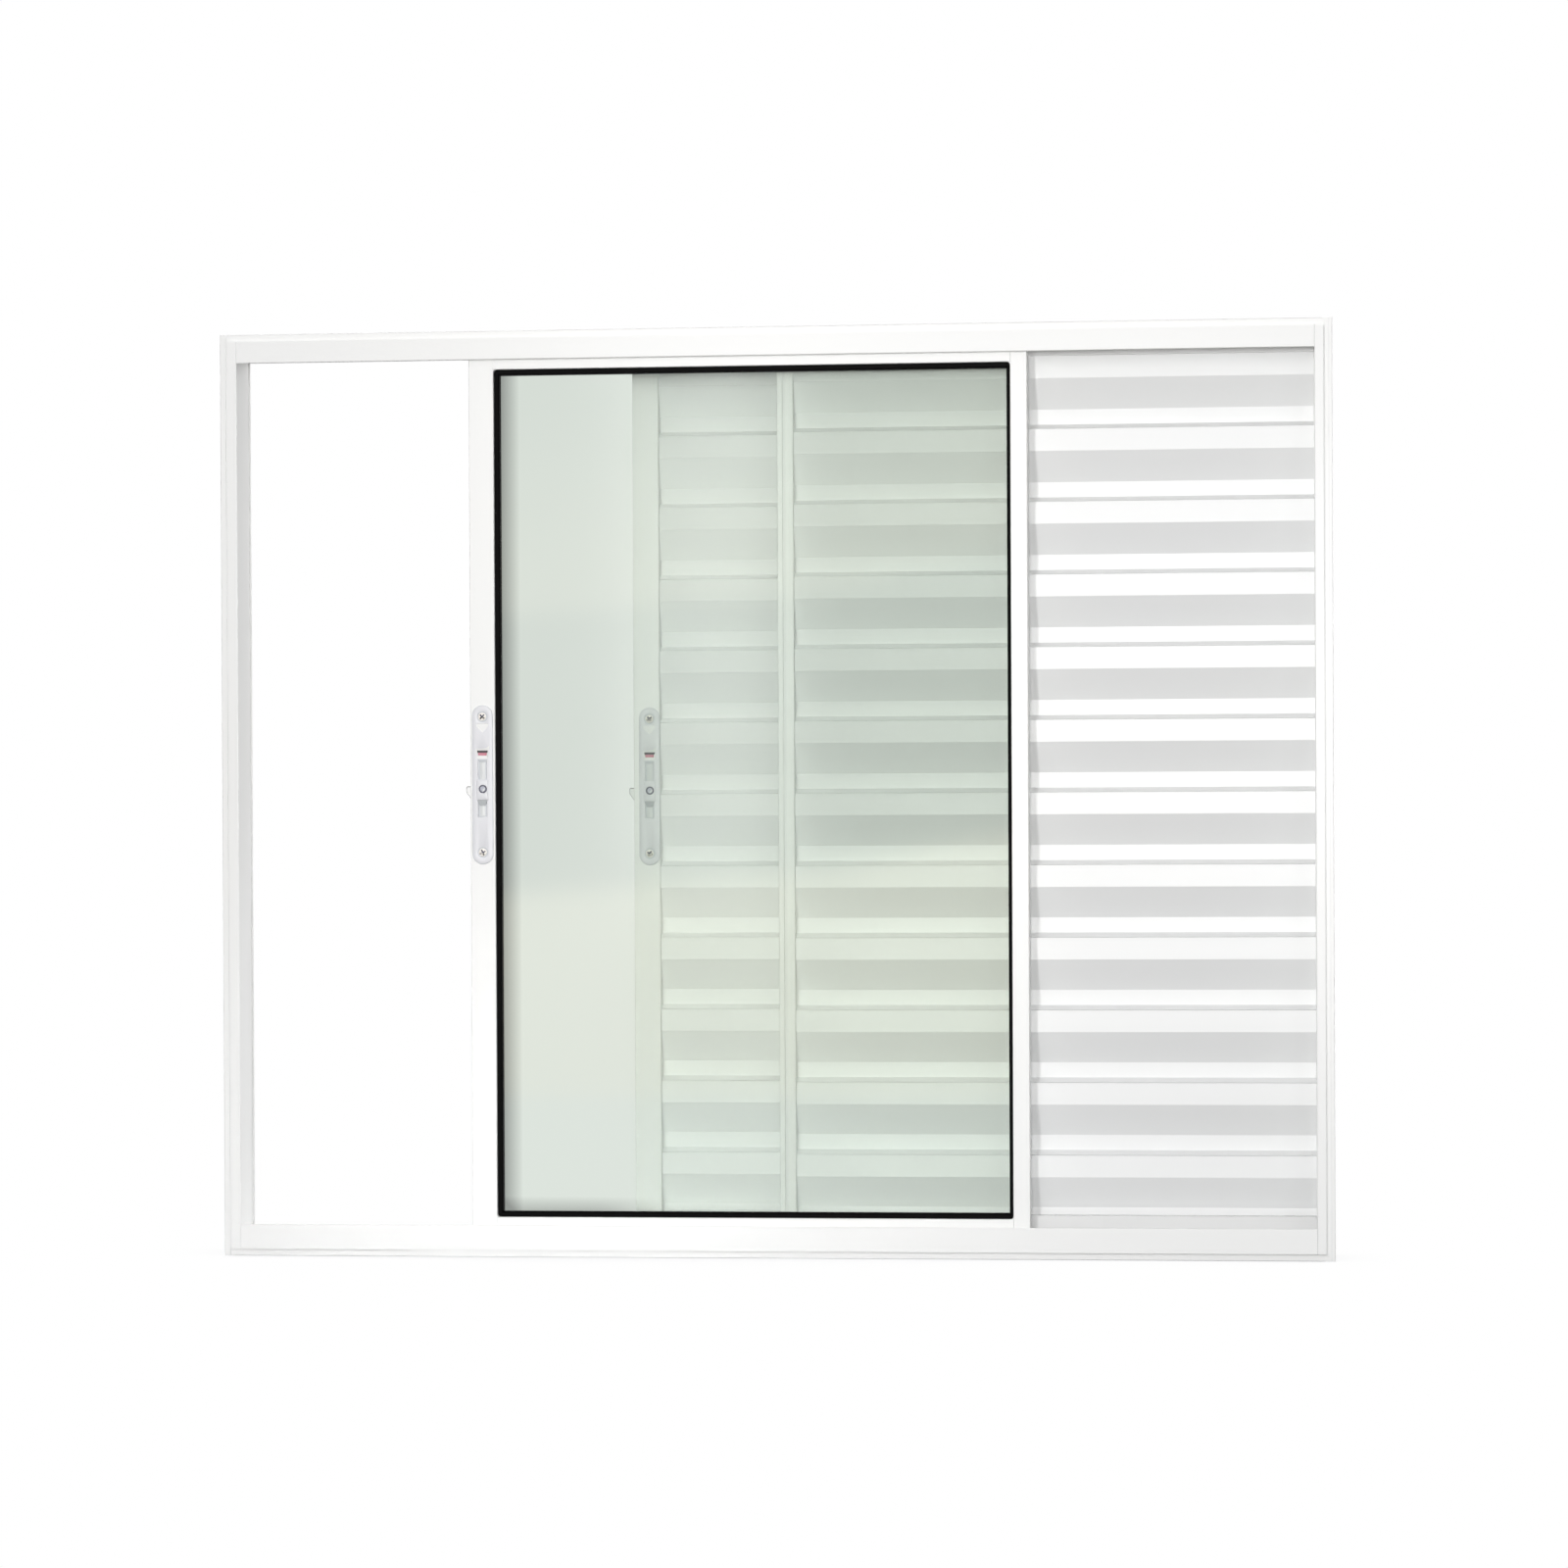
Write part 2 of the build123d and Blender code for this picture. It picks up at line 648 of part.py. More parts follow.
with BuildPart() as glass_lock_plate:
    lock_plate(glass_lock_x, track_one, 0)
    chamfer(glass_lock_plate.faces().sort_by(Axis.Y)[0].edges(), length=plate_bevel)
    lock_pockets(glass_lock_x, track_one, 0)
save(glass_lock_plate, "glass_lock_plate")

with BuildPart() as glass_lock_slider:
    lock_slider(glass_lock_x, track_one, 0)
save(glass_lock_slider, "glass_lock_slider")

with BuildPart() as glass_lock_indicator:
    lock_indicator(glass_lock_x, track_one, 0)
save(glass_lock_indicator, "glass_lock_indicator")

with BuildPart() as glass_lock_hook:
    lock_hook(glass_left, track_one, 0)
save(glass_lock_hook, "glass_lock_hook")

with BuildPart() as louvre_lock_plate:
    lock_plate(louvre_lock_x, track_three, louvre_lock_drop)
    chamfer(louvre_lock_plate.faces().sort_by(Axis.Y)[0].edges(), length=plate_bevel)
    lock_pockets(louvre_lock_x, track_three, louvre_lock_drop)
save(louvre_lock_plate, "louvre_lock_plate")

with BuildPart() as louvre_lock_slider:
    lock_slider(louvre_lock_x, track_three, louvre_lock_drop)
save(louvre_lock_slider, "louvre_lock_slider")

with BuildPart() as louvre_lock_indicator:
    lock_indicator(louvre_lock_x, track_three, louvre_lock_drop)
save(louvre_lock_indicator, "louvre_lock_indicator")

with BuildPart() as louvre_lock_hook:
    lock_hook(louvre_left, track_three, louvre_lock_drop)
save(louvre_lock_hook, "louvre_lock_hook")

# keeper on the left jamb's web that the front lock's hook enters when the leaf is closed
with BuildPart() as jamb_keeper:
    keeper_face = Plane(origin=(jamb_web_start + wall - half, y(track_depths[0]), 0),
                        x_dir=(0, 1, 0), z_dir=(1, 0, 0))
    with BuildSketch(keeper_face):
        with Locations((0, (hook_foot + hook_head) / 2)):
            Rectangle(keeper_wide, keeper_tall)
            slot_tall = hook_head - hook_foot + 2 * keeper_margin
            SlotOverall(slot_tall, keeper_slot, rotation=90, mode=Mode.SUBTRACT)
    extrude(amount=keeper_thick)
save(jamb_keeper, "jamb_keeper")
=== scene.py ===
import math

import bmesh
import bpy
from mathutils import Matrix, Vector


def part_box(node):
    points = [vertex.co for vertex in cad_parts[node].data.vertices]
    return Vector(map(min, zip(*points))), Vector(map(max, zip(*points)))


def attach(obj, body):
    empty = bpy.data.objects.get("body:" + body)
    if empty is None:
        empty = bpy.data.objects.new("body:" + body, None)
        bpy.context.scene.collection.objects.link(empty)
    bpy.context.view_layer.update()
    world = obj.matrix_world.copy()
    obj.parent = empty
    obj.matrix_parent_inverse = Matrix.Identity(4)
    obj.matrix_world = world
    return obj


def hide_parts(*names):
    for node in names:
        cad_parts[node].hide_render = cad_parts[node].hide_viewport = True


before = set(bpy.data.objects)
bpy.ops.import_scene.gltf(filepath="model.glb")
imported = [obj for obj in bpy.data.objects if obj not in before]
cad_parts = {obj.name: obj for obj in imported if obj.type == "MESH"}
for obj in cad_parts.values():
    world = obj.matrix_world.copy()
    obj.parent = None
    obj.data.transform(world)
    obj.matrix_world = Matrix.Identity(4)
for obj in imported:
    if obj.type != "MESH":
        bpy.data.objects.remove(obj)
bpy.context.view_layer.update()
scene = bpy.context.scene
scene.view_settings.view_transform = "Standard"  # whites as bright as in the photograph
print("frame loaded:", len(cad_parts), "nodes")


# camera at the photograph's viewing angle, from a fit of the window's edges
view = {
    "place": (0.56155, -5.00589, 0.46523),
    "yaw": -0.1099, "pitch": -0.0080, "roll": -0.0046,
    "lens": 106.893, "sensor": 36, "shift": 0.05,
    "near": 0.05, "far": 200,
}


def setCamera():
    yaw, pitch, roll = view["yaw"], view["pitch"], view["roll"]
    ahead = Vector((math.sin(yaw) * math.cos(pitch), math.cos(yaw) * math.cos(pitch), math.sin(pitch)))
    side = Vector((math.cos(yaw), -math.sin(yaw), 0))
    up = side.cross(ahead)
    right = side * math.cos(roll) + up * math.sin(roll)
    top = up * math.cos(roll) - side * math.sin(roll)
    data = bpy.data.cameras.new("camera")
    data.lens = view["lens"]
    data.sensor_width = view["sensor"]
    data.shift_y = view["shift"]
    data.clip_start, data.clip_end = view["near"], view["far"]
    camera = bpy.data.objects.new("camera", data)
    turn = Matrix((right, top, -ahead)).transposed()
    camera.matrix_world = Matrix.Translation(view["place"]) @ turn.to_4x4()
    scene.collection.objects.link(camera)
    scene.camera = camera


setCamera()
print("camera set")


# the first plug of that name
def plugNamed(plugs, name):
    return next(plug for plug in plugs if name in (plug.identifier, plug.name))


# a wire is one socket of a node tree, so that shader maths reads as plain expressions
class Wire:
    def __init__(self, tree, socket=None):
        self.tree = tree
        self.socket = socket

    # any node: its type, its settings, then the values or wires of its sockets
    def node(self, kind, settings=None, sockets=None, output=None):
        made = self.tree.nodes.new(kind)
        for name, value in (settings or {}).items():
            setattr(made, name, value)
        for name, value in (sockets or {}).items():
            plug = plugNamed(made.inputs, name)
            if isinstance(value, Wire):
                self.tree.links.new(value.socket, plug)
            else:
                plug.default_value = value
        if len(made.outputs) == 0:
            return None
        return Wire(self.tree, plugNamed(made.outputs, output) if output else made.outputs[0])

    def maths(self, operation, first, second):
        return self.node("ShaderNodeMath", {"operation": operation}, {"Value": first, "Value_001": second})

    def __add__(self, other):
        return self.maths("ADD", self, other)

    def __radd__(self, other):
        return self.maths("ADD", other, self)

    def __sub__(self, other):
        return self.maths("SUBTRACT", self, other)

    def __rsub__(self, other):
        return self.maths("SUBTRACT", other, self)

    def __mul__(self, other):
        return self.maths("MULTIPLY", self, other)

    def __rmul__(self, other):
        return self.maths("MULTIPLY", other, self)

    def __truediv__(self, other):
        return self.maths("DIVIDE", self, other)

    def __rtruediv__(self, other):
        return self.maths("DIVIDE", other, self)

    def __abs__(self):
        return self.maths("ABSOLUTE", self, 0)

    # one coordinate of a vector
    def axis(self, letter):
        return self.node("ShaderNodeSeparateXYZ", None, {"Vector": self}, letter)

    def ramp(self, low, high, start=0.0, end=1.0):
        return self.node("ShaderNodeMapRange", {"interpolation_type": "SMOOTHSTEP"},
                         {"Value": self, "From Min": low, "From Max": high, "To Min": start, "To Max": end})

    # 1 at the start, falling evenly to 0 at the end of the reach
    def fade(self, start, reach):
        share = 1 - (self - start) / reach
        return self.maths("MINIMUM", self.maths("MAXIMUM", share, 0), 1)

    # the first colour where the wire is 0, the second where it is 1
    def tint(self, first, second):
        first, second = ((*colour, 1) if isinstance(colour, tuple) else colour for colour in (first, second))
        return self.node("ShaderNodeMix", {"data_type": "RGBA"},
                         {"Factor_Float": self, "A_Color": first, "B_Color": second}, "Result_Color")

    # the same for two shaders
    def blend(self, first, second):
        return self.node("ShaderNodeMixShader", None, {"Fac": self, "Shader": first, "Shader_001": second})

    def scaled(self, share):
        return self.node("ShaderNodeVectorMath", {"operation": "SCALE"}, {"Vector": self, "Scale": share},
                         "Vector")

    def noise(self, scale, detail, stretch=(1, 1, 1)):
        placed = self.node("ShaderNodeMapping", None, {"Vector": self, "Scale": stretch})
        return self.node("ShaderNodeTexNoise", None, {"Vector": placed, "Scale": scale, "Detail": detail})

    def bump(self, strength, distance):
        return self.node("ShaderNodeBump", None, {"Strength": strength, "Distance": distance, "Height": self})

    # how open a spot is, from 0 in a joint to 1 on a bare face
    def openness(self, reach):
        return self.node("ShaderNodeAmbientOcclusion", {"samples": 8}, {"Distance": reach}, "AO")

    def rays(self, kind):
        return self.node("ShaderNodeLightPath", output=kind)

    def coordinates(self, kind="Object"):
        return self.node("ShaderNodeTexCoord", output=kind)

    # a shader with one even colour, and the usual one with what differs from its defaults
    def even(self, kind, colour):
        return self.node(kind, None, {"Color": (*colour, 1)})

    def principled(self, **sockets):
        return self.node("ShaderNodeBsdfPrincipled", None,
                         {name.replace("_", " "): value for name, value in sockets.items()})


def newMaterial(name):
    material = bpy.data.materials.new(name)
    material.use_nodes = True
    material.node_tree.nodes.clear()
    return material, Wire(material.node_tree)


def closeMaterial(wire, surface):
    wire.node("ShaderNodeOutputMaterial", None, {"Surface": surface})


# powder coat: fine orange peel, faint drawing lines along the extrusion, a slightly darker, cooler tone low
# down and painted shade in its joints; a noise is given as scale and detail, a finish as tone and roughness
coat = {
    "frame": ((0.890, 0.890, 0.882), 0.36),
    "leaf": ((0.905, 0.905, 0.895), 0.34),
    "blades": ((0.872, 0.877, 0.875), 0.38),
    # the fixed leaf's rails get a darker coat as painted shade
    "fixed": ((0.790, 0.790, 0.786), 0.38),
    "drift": (2.2, 3), "lines": (1.0, 2), "peel": (1100, 2), "specks": (2600, 1),
    "stretch": {"x": (2.0, 700, 700), "z": (700, 700, 2.0)},
    "warm": (1.0, 0.998, 0.990), "warmEdge": (0.3, 0.7),
    "cool": (0.955, 0.962, 0.972), "coolShare": 0.55,
    "lowEdge": (0.42, 0.0), "lowDrift": (0.35, 0.65, 0.6, 1.0),
    "speck": (0.55, 0.55, 0.54), "speckShare": 0.05, "speckEdge": (0.68, 0.80),
    # a dull tone that paints shade into joints and inner corners
    "dustAndShade": (0.42, 0.44, 0.46), "dustAndShadeShare": 0.24, "bladeJointShadeShare": 0.12,
    "jointShadeReach": 0.004, "dustAndShadeEdge": (0.80, 0.20),
    "ledge": (0.62, 0.62, 0.62), "ledgeShare": 0.45, "ledgeEdge": (0.058, 0.046),
    "peelShine": 0.10, "lineShine": 0.06, "lowShine": 0.05,
    "peelRelief": 0.7, "lineRelief": 0.3, "relief": 0.10, "reliefDepth": 0.00006,
    "skin": 0.12, "skinRoughness": 0.22, "specular": 0.45,
}


# painted light and shade on the blades: the coat of the upright lips, the slopes and the parts behind the
# pane is made brighter or darker as light would fall on them; each ramp is given by where it starts and ends
# and by its two shares
paintedBladeShade = {
    "steep": (0.12, 0.30), "roomward": (0.0, -0.15), "paneSide": (0.282, 0.272), "freeSlopes": 0.945,
    "lipsUp": (0.34, 0.56, 1.07, 0.92), "lipsAcross": (0.0, 0.14, 1.0, 1.09),
    "slopesUp": (0.62, 0.92, 1.0, 1.03), "slopesAcross": (-0.10, 0.27, 1.10, 1.08),
}


def bladeShadeShare(wire, across, height):
    facing = wire.node("ShaderNodeNewGeometry", output="True Normal")
    steep = abs(facing.axis("Z")).ramp(*paintedBladeShade["steep"])
    roomward = facing.axis("Y").ramp(*paintedBladeShade["roomward"])
    lips = height.ramp(*paintedBladeShade["lipsUp"]) * across.ramp(*paintedBladeShade["lipsAcross"])
    slopes = across.ramp(*paintedBladeShade["slopesAcross"]) * height.ramp(*paintedBladeShade["slopesUp"])
    behind = lips + steep * (slopes - lips)
    free = 1 - steep * (1 - paintedBladeShade["freeSlopes"])
    share = free + across.ramp(*paintedBladeShade["paneSide"]) * (behind - free)
    return 1 + roomward * (share - 1)


def powderCoat(name, tone, roughness, along):
    material, wire = newMaterial(name)
    place = wire.coordinates()
    drift = place.noise(*coat["drift"])
    lines = place.noise(*coat["lines"], coat["stretch"][along])
    peel = place.noise(*coat["peel"])
    specks = place.noise(*coat["specks"]).ramp(*coat["speckEdge"])
    height = place.axis("Z")
    # a slightly darker, cooler tone towards the bottom
    low = height.ramp(*coat["lowEdge"]) * drift.ramp(*coat["lowDrift"])
    cool = tuple(channel * shade for channel, shade in zip(tone, coat["cool"]))
    warm = tuple(channel * shade for channel, shade in zip(tone, coat["warm"]))
    colour = drift.ramp(*coat["warmEdge"]).tint(tone, warm)
    colour = (low * coat["coolShare"]).tint(colour, cool)
    colour = (specks * coat["speckShare"]).tint(colour, coat["speck"])
    # painted shade: an occlusion mask darkens the coat in joints and inner corners
    dustAndShade = coat["bladeJointShadeShare" if name == "blade" else "dustAndShadeShare"]
    shadedJoints = wire.openness(coat["jointShadeReach"]).ramp(*coat["dustAndShadeEdge"])
    colour = (shadedJoints * dustAndShade).tint(colour, coat["dustAndShade"])
    # painted shade: the lowest ledge is darkened where it lies in the sill's shade
    if name in ("blade", "fixedAcross"):
        colour = (height.ramp(*coat["ledgeEdge"]) * coat["ledgeShare"]).tint(colour, coat["ledge"])
    # painted light and shade: the blades' coat is scaled by where each face lies and which way it faces
    if name == "blade":
        colour = colour.scaled(bladeShadeShare(wire, place.axis("X"), height))
    shine = (peel - 0.5) * coat["peelShine"] + (lines - 0.5) * coat["lineShine"] + low * coat["lowShine"]
    relief = peel * coat["peelRelief"] + lines * coat["lineRelief"]
    closeMaterial(wire, wire.principled(
        Base_Color=colour, Roughness=roughness + shine,
        Normal=relief.bump(coat["relief"], coat["reliefDepth"]),
        Coat_Weight=coat["skin"], Coat_Roughness=coat["skinRoughness"], Specular_IOR_Level=coat["specular"]))
    return material


# black rubber: soft sheen, moulding grain and a trace of pale dust
rubber = {
    "tone": (0.0010, 0.0009, 0.0010), "second": (0.0020, 0.0019, 0.0020), "cloud": (28, 3),
    "cloudEdge": (0.35, 0.75), "dustAndShade": (0.04, 0.04, 0.04), "dustAndShadeShare": 0.05, "dustAndShadeEdge": (0.66, 0.80),
    "roughness": 0.50, "grain": (1800, 3), "grainShine": 0.2,
    "relief": 0.25, "reliefDepth": 0.00005, "specular": 0.04,
}


def gasketRubber():
    material, wire = newMaterial("gasketRubber")
    place = wire.coordinates()
    grain = place.noise(*rubber["grain"])
    cloud = place.noise(*rubber["cloud"]).ramp(*rubber["cloudEdge"])
    colour = cloud.tint(rubber["tone"], rubber["second"])
    colour = (grain.ramp(*rubber["dustAndShadeEdge"]) * rubber["dustAndShadeShare"]).tint(colour, rubber["dustAndShade"])
    closeMaterial(wire, wire.principled(
        Base_Color=colour, Roughness=rubber["roughness"] + (grain - 0.5) * rubber["grainShine"],
        Normal=grain.bump(rubber["relief"], rubber["reliefDepth"]), Specular_IOR_Level=rubber["specular"]))
    return material


# clear float glass, faintly green, with a thin mirror skin on each face and painted shade at its left edge
# and foot
glass = {
    "tint": (0.836, 0.869, 0.836), "shaded": (0.502, 0.521, 0.502), "lamps": (0.955, 0.965, 0.955),
    "index": 1.5, "mirror": 0.9, "mirrorRoughness": 0.05,
    "haze": (3.0, 4), "hazeEdge": (0.35, 0.75), "hazeShare": 0.02,
    "edge": -0.293, "edgeReach": 0.020, "edgeShade": 0.825,
    "foot": 0.047, "footReach": 0.018, "footShade": 0.65, "footEnd": (-0.10, -0.20),
}


def floatGlass():
    material, wire = newMaterial("floatGlass")
    place = wire.coordinates()
    across = place.axis("X")
    haze = place.noise(*glass["haze"]).ramp(*glass["hazeEdge"]) * glass["hazeShare"]
    side = across.fade(glass["edge"], glass["edgeReach"]) * glass["edgeShade"]
    foot = place.axis("Z").fade(glass["foot"], glass["footReach"]) * glass["footShade"]
    foot = foot * across.ramp(*glass["footEnd"])
    through = (side + foot + haze).blend(wire.even("ShaderNodeBsdfTransparent", glass["tint"]),
                                         wire.even("ShaderNodeBsdfTransparent", glass["shaded"]))
    mirror = wire.node("ShaderNodeBsdfGlossy", None, {
        "Color": (1, 1, 1, 1), "Roughness": glass["mirrorRoughness"]})
    share = wire.node("ShaderNodeFresnel", None, {"IOR": glass["index"]}) * glass["mirror"]
    # lamps and bounced light pass almost unchanged, so what stands behind stays as bright as it is seen
    lit = wire.even("ShaderNodeBsdfTransparent", glass["lamps"])
    closeMaterial(wire, wire.rays("Is Camera Ray").blend(lit, share.blend(through, mirror)))
    return material


# moulded plastic and paint
moulding = {
    "grain": (1500, 3), "cloud": (60, 3), "cloudEdge": (0.3, 0.7), "grainShine": 0.12, "cloudShine": 0.08,
    "relief": 0.15, "reliefDepth": 0.00005, "specular": 0.5,
}


def plastic(name, tone, second, roughness):
    material, wire = newMaterial(name)
    place = wire.coordinates()
    grain = place.noise(*moulding["grain"])
    cloud = place.noise(*moulding["cloud"])
    shine = (grain - 0.5) * moulding["grainShine"] + (cloud - 0.5) * moulding["cloudShine"]
    closeMaterial(wire, wire.principled(
        Base_Color=cloud.ramp(*moulding["cloudEdge"]).tint(tone, second), Roughness=roughness + shine,
        Normal=grain.bump(moulding["relief"], moulding["reliefDepth"]),
        Specular_IOR_Level=moulding["specular"]))
    return material


# brushed steel
steel = {
    "tone": (0.56, 0.57, 0.58), "second": (0.50, 0.51, 0.53), "cloud": (90, 3), "cloudEdge": (0.3, 0.7),
    "roughness": 0.32, "brushed": (900, 3), "stretch": (1, 1, 0.05), "brushShine": 0.2,
    "relief": 0.12, "reliefDepth": 0.00003,
}


def keeperSteel():
    material, wire = newMaterial("keeperSteel")
    place = wire.coordinates()
    brushed = place.noise(*steel["brushed"], steel["stretch"])
    cloud = place.noise(*steel["cloud"]).ramp(*steel["cloudEdge"])
    closeMaterial(wire, wire.principled(
        Base_Color=cloud.tint(steel["tone"], steel["second"]), Metallic=1.0,
        Roughness=steel["roughness"] + (brushed - 0.5) * steel["brushShine"],
        Normal=brushed.bump(steel["relief"], steel["reliefDepth"])))
    return material


materials = {
    "frameAcross": powderCoat("frameAcross", *coat["frame"], "x"),
    "frameUpright": powderCoat("frameUpright", *coat["frame"], "z"),
    "leafAcross": powderCoat("leafAcross", *coat["leaf"], "x"),
    "leafUpright": powderCoat("leafUpright", *coat["leaf"], "z"),
    "blade": powderCoat("blade", *coat["blades"], "x"),
    "fixedAcross": powderCoat("fixedAcross", *coat["fixed"], "x"),
    "gasket": gasketRubber(),
    "glass": floatGlass(),
    "lock": plastic("lockPlastic", (0.790, 0.790, 0.815), (0.775, 0.775, 0.803), 0.38),
    "nylon": plastic("wheelNylon", (0.42, 0.42, 0.41), (0.36, 0.36, 0.35), 0.45),
    "blackPlastic": plastic("carriagePlastic", (0.022, 0.022, 0.023), (0.030, 0.030, 0.031), 0.48),
    "markAndHighlight": plastic("markAndHighlightPlastic", (0.900, 0.895, 0.880), (0.885, 0.885, 0.875), 0.42),
    "lockInShade": plastic("lockInShadePlastic", (0.655, 0.675, 0.700), (0.635, 0.655, 0.685), 0.50),
    "lockHighlight": plastic("lockHighlightPlastic", (0.745, 0.760, 0.755), (0.725, 0.740, 0.740), 0.40),
    "hookRimShade": plastic("hookRimShadePlastic", (0.300, 0.300, 0.290), (0.260, 0.260, 0.250), 0.50),
    "hookFace": plastic("hookPaint", (0.905, 0.905, 0.900), (0.890, 0.890, 0.885), 0.40),
    "lockShade": plastic("shadePlastic", (0.430, 0.450, 0.460), (0.400, 0.420, 0.435), 0.50),
    "windowShade": plastic("windowShadePlastic", (0.050, 0.035, 0.045), (0.040, 0.030, 0.040), 0.50),
    "knobRing": plastic("ringPlastic", (0.120, 0.120, 0.165), (0.095, 0.095, 0.135), 0.45),
    "knobFace": plastic("knobPlastic", (0.560, 0.565, 0.640), (0.500, 0.510, 0.590), 0.22),
    "screwHead": plastic("screwPaint", (0.940, 0.895, 0.820), (0.920, 0.875, 0.810), 0.35),
    "screwCross": plastic("crossShade", (0.060, 0.060, 0.105), (0.045, 0.045, 0.085), 0.50),
    "flagRed": plastic("flagRed", (0.560, 0.165, 0.225), (0.500, 0.130, 0.190), 0.35),
    "flagInShade": plastic("flagInShade", (0.020, 0.010, 0.016), (0.014, 0.008, 0.012), 0.45),
    "steel": keeperSteel(),
}


def materialFor(node):
    if "blades" in node:
        return "blade"
    if node == "glass_pane":
        return "glass"
    if node == "glass_gasket":
        return "gasket"
    if "wheels" in node:
        return "nylon"
    if "roller_bodies" in node or "guides" in node or "packers" in node:
        return "blackPlastic"
    if "indicator" in node:
        return "flagRed"
    if "lock_hook" in node or "lock_slider" in node or "lock_plate" in node:
        return "lock"
    if "keeper" in node:
        return "steel"
    # painted shade: the fixed leaf's rails take the darker coat
    if node.startswith("fixed_leaf") and "rail" in node:
        return "fixedAcross"
    member = "frame" if node.startswith("frame_") else "leaf"
    upright = "stile" in node or "jamb" in node
    return member + ("Upright" if upright else "Across")


for name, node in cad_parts.items():
    for place in node.material_slots:
        place.material = materials[materialFor(name)]
print("materials made:", len(materials))


millimetre = 0.001
sharpAngle = math.radians(28)


# a small piece, drawn as loops on a leaf's face: u across, v up and w out towards the room, in millimetres
class Shape:
    def __init__(self, origin, *finishes):
        self.origin = Vector(origin)
        self.mesh = bmesh.new()
        self.finishes = finishes
        self.paint = 0

    # the finish of what is made next
    def use(self, finish):
        self.paint = self.finishes.index(finish)

    def loop(self, points, w):
        corners = [self.mesh.verts.new(self.origin + Vector((u, -w, v)) * millimetre) for u, v in points]
        return [self.mesh.edges.new(pair) for pair in zip(corners, corners[1:] + corners[:1])]

    def keep(self, faces):
        for face in faces:
            face.material_index = self.paint
            face.smooth = True

    # walls that join each loop to the next one
    def walls(self, *loops):
        for first, second in zip(loops, loops[1:]):
            self.keep(bmesh.ops.bridge_loops(self.mesh, edges=first + second)["faces"])

    # flat face between the loops
    def cover(self, *loops):
        edges = [edge for loop in loops for edge in loop]
        made = bmesh.ops.triangle_fill(self.mesh, edges=edges, use_beauty=True)
        self.keep(part for part in made["geom"] if isinstance(part, bmesh.types.BMFace))

    # closed block from one depth to another, with its second outline spread if need be
    def block(self, points, back, front, second=None):
        low, high = self.loop(points, back), self.loop(second or points, front)
        self.cover(low)
        self.walls(low, high)
        self.cover(high)

    def finish(self, name, slot, *nodes):
        bmesh.ops.recalc_face_normals(self.mesh, faces=self.mesh.faces)
        data = bpy.data.meshes.new(name)
        self.mesh.to_mesh(data)
        self.mesh.free()
        data.set_sharp_from_angle(angle=sharpAngle)
        for finish in self.finishes:
            data.materials.append(materials[finish])
        piece = bpy.data.objects.new(name, data)
        scene.collection.objects.link(piece)
        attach(piece, "root")
        if nodes:
            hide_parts(*nodes)


def circle(radius, u, v, count=32):
    turns = [2 * math.pi * n / count for n in range(count)]
    return [(u + radius * math.cos(turn), v + radius * math.sin(turn)) for turn in turns]


# a rectangle with half-round ends, drawn inwards by the inset
def stadium(width, tall, inset, count=20):
    radius, straight = width / 2 - inset, (tall - width) / 2
    turns = [math.pi * n / count for n in range(count + 1)]
    upper = [(radius * math.cos(turn), straight + radius * math.sin(turn)) for turn in turns]
    return upper + [(-u, -v) for u, v in upper]


def rectangle(left, right, foot, head):
    return [(right, foot), (right, head), (left, head), (left, foot)]


def clipped(left, right, foot, head, cut):
    return [(right, foot + cut), (right, head - cut), (right - cut, head), (left + cut, head),
            (left, head - cut), (left, foot + cut), (left + cut, foot), (right - cut, foot)]


def spread(points, share, centre):
    return [(centre[0] + (u - centre[0]) * share, centre[1] + (v - centre[1]) * share) for u, v in points]


# a cross of two arms, turned by an angle
def cross(reach, width, turn, v):
    half = width / 2
    arm = [(reach, -half), (reach, half), (half, half)]
    return [(x * math.cos(q) - y * math.sin(q), v + x * math.sin(q) + y * math.cos(q))
            for q in (turn + math.pi / 2 * n for n in range(4)) for x, y in arm]


# lock plate with its seats, arrow, window and recess; rim and seats are given as insets or radii with depths
plate = {
    "width": 22.6, "tall": 171.6, "screwUp": 73.4, "screwDown": -73.1,
    "rim": ((0.0, 0.0), (0.0, 0.8), (0.15, 1.1), (0.45, 1.35), (2.4, 1.74), (2.8, 1.8)), "shadedSteps": 4,
    "seat": ((5.9, 1.8), (5.5, 1.62), (4.9, 1.45)),
    "arrow": [(-6.4, 65.2), (-5.6, 66.0), (6.0, 66.1), (6.9, 65.4), (6.1, 63.0), (4.2, 61.0), (2.4, 58.6),
              (0.3, 56.6), (-1.9, 58.8), (-4.3, 61.2), (-6.3, 63.0)],
    "arrowCentre": (0, 62), "arrowShare": 0.92, "arrowDepth": 0.3,
    "scoop": [(-6.8, 38.7), (-3.0, 38.9), (1.5, 39.2), (4.8, 40.2), (7.7, 42.2), (7.0, 37.2), (5.7, 28.4),
              (-5.7, 28.4), (-6.9, 37.0)],
    "window": [(-5.9, 37.0), (-3.0, 37.0), (1.0, 37.0), (4.0, 37.0), (5.9, 37.0), (5.6, 35.6), (4.4, 31.5),
               (-4.4, 31.5), (-5.6, 35.6)],
    "windowTop": 0.9,
    "recess": [(-5.5, 27.6), (5.5, 27.6), (5.1, 24.4), (5.1, -35.2), (-5.1, -35.2), (-5.1, 24.4)],
    "recessFloor": [(-4.3, 24.9), (4.3, 24.9), (4.6, 23.6), (4.6, -34.6), (-4.6, -34.6), (-4.6, 23.6)],
    "recessTop": 0.62, "shadedHead": (24.5, 27.6), "shadedDepth": (0.7, 1.75), "shadedHalf": 3,
}


